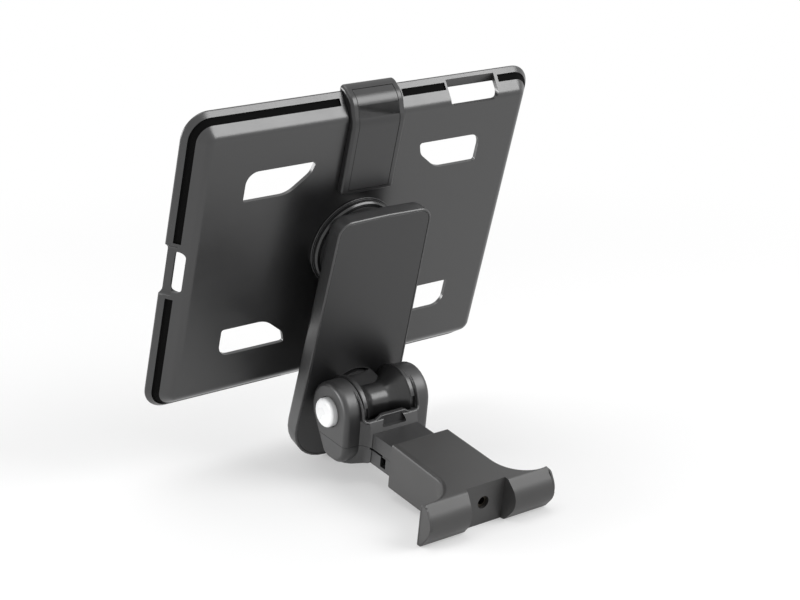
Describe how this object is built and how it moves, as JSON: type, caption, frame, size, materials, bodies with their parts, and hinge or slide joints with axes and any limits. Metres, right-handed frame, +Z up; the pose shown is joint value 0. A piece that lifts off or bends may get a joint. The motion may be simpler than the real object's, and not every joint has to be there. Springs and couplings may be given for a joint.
{
  "type": "headrest tablet mount",
  "caption": "Tablet holder for the back of a car seat: a shallow tray on a swivelling arm, a tilting hinge with a release button, and a bracket that sits between the headrest's posts.",
  "frame": {"origin": "centre of the bounding box's base; the arm's lower edge and the wings' lower tips stand on it", "axes": "+Z up, +Y from the tray towards the headrest, +X along the tray's width, to the left as seen from behind the tray"},
  "size_m": [0.255, 0.1826, 0.2462],
  "materials": {
    "black_plastic": "satin",
    "cover_plastic": "satin",
    "soft_band": "matt",
    "steel": "brushed",
    "silver_plastic": "satin",
    "brass": "turned"
  },
  "bodies": {
    "bracket": {"yoke_upper": "black_plastic", "yoke_lower": "black_plastic", "yoke_screws": "steel", "hinge_pin": "steel", "pin_cap": "black_plastic", "friction_washers": "steel", "button_spring": "steel", "clamp_bracket": "black_plastic", "wing_caps": "cover_plastic", "clamp_insert": "brass", "bracket_screws": "steel"},
    "button": {"lock_button": "silver_plastic"},
    "knuckle": {"knuckle": "black_plastic", "knuckle_base": "steel", "knuckle_screws": "steel", "hinge_bush": "steel"},
    "arm": {"arm_shell": "black_plastic", "arm_cover": "cover_plastic", "arm_screws": "steel"},
    "case": {"tablet_tray": "black_plastic", "edge_band": "soft_band", "hub_flange": "black_plastic", "hub_screws": "steel", "swivel_washer": "steel", "swivel_screw": "steel", "clip_rail": "cover_plastic", "rail_screws": "steel", "clip_springs": "steel"},
    "clip": {"clip_frame": "black_plastic", "clip_cover": "cover_plastic"}
  },
  "joints": [
    {"name": "tilt", "type": "hinge", "parent": "bracket", "child": "knuckle", "pos_m": [0, -0.02812, 0.04491], "axis": [1, 0, 0], "range_deg": [-22, 26]},
    {"name": "arm_swing", "type": "hinge", "parent": "knuckle", "child": "arm", "pos_m": [0, -0.04997, 0.04191], "axis": [0, 0.9558, -0.2941], "range_deg": [-90, 90]},
    {"name": "case_swivel", "type": "hinge", "parent": "arm", "child": "case", "pos_m": [0, -0.04819, 0.1439], "axis": [0, 0.9558, -0.2941], "continuous": true},
    {"name": "clip_slide", "type": "slide", "parent": "case", "child": "clip", "axis": [0, 0.2941, 0.9558], "range_m": [0, 0.008], "stiffness_N_per_m": 150, "springref_m": -0.008},
    {"name": "button_press", "type": "slide", "parent": "bracket", "child": "button", "axis": [-1, 0, 0], "range_m": [0, 0.003], "stiffness_N_per_m": 400, "springref_m": -0.002}
  ]
}
